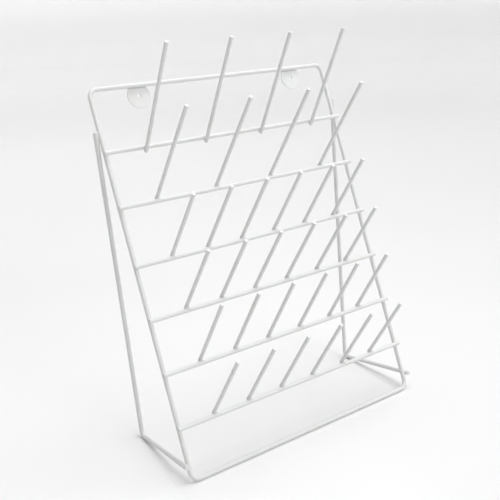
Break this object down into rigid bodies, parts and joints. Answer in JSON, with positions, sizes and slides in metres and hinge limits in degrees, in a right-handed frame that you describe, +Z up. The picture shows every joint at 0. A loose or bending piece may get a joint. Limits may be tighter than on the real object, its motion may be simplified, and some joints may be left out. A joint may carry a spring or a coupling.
{
  "type": "wire peg rack",
  "caption": "Leaning free-standing rack of white coated steel wire: a rounded wire loop with crossbars, straight pegs pointing up and forward, and a bent support wire on each side",
  "frame": {"origin": "bottom centre of the bounding box, on the surface the rack stands on", "axes": "+Z up, +Y to the back, +X to the right seen from the front; the pegs point up and towards -Y"},
  "size_m": [0.4182, 0.2548, 0.5543],
  "materials": {
    "coated_wire": "white vinyl or epoxy coating on steel wire, soft gloss",
    "coated_peg": "white vinyl or epoxy coating on steel wire, soft gloss, thicker bead at the cut tips",
    "coated_disc": "white coating on a flat steel washer, soft gloss"
  },
  "bodies": {
    "root": {"frame_loop": "coated_wire", "row_1_crossbar": "coated_wire", "row_2_crossbar": "coated_wire", "row_3_crossbar": "coated_wire", "row_4_crossbar": "coated_wire", "row_5_crossbar": "coated_wire", "row_6_crossbar": "coated_wire", "row_1_peg_1": "coated_peg", "row_1_peg_2": "coated_peg", "row_1_peg_3": "coated_peg", "row_1_peg_4": "coated_peg", "row_2_peg_1": "coated_peg", "row_2_peg_2": "coated_peg", "row_2_peg_3": "coated_peg", "row_2_peg_4": "coated_peg", "row_3_peg_1": "coated_peg", "row_3_peg_2": "coated_peg", "row_3_peg_3": "coated_peg", "row_3_peg_4": "coated_peg", "row_3_peg_5": "coated_peg", "row_3_peg_6": "coated_peg", "row_4_peg_1": "coated_peg", "row_4_peg_2": "coated_peg", "row_4_peg_3": "coated_peg", "row_4_peg_4": "coated_peg", "row_4_peg_5": "coated_peg", "row_4_peg_6": "coated_peg", "row_5_peg_1": "coated_peg", "row_5_peg_2": "coated_peg", "row_5_peg_3": "coated_peg", "row_5_peg_4": "coated_peg", "row_5_peg_5": "coated_peg", "row_5_peg_6": "coated_peg", "row_6_peg_1": "coated_peg", "row_6_peg_2": "coated_peg", "row_6_peg_3": "coated_peg", "row_6_peg_4": "coated_peg", "row_6_peg_5": "coated_peg", "row_6_peg_6": "coated_peg", "left_side_support": "coated_wire", "right_side_support": "coated_wire", "left_hanger_disc": "coated_disc", "right_hanger_disc": "coated_disc"}
  },
  "joints": []
}
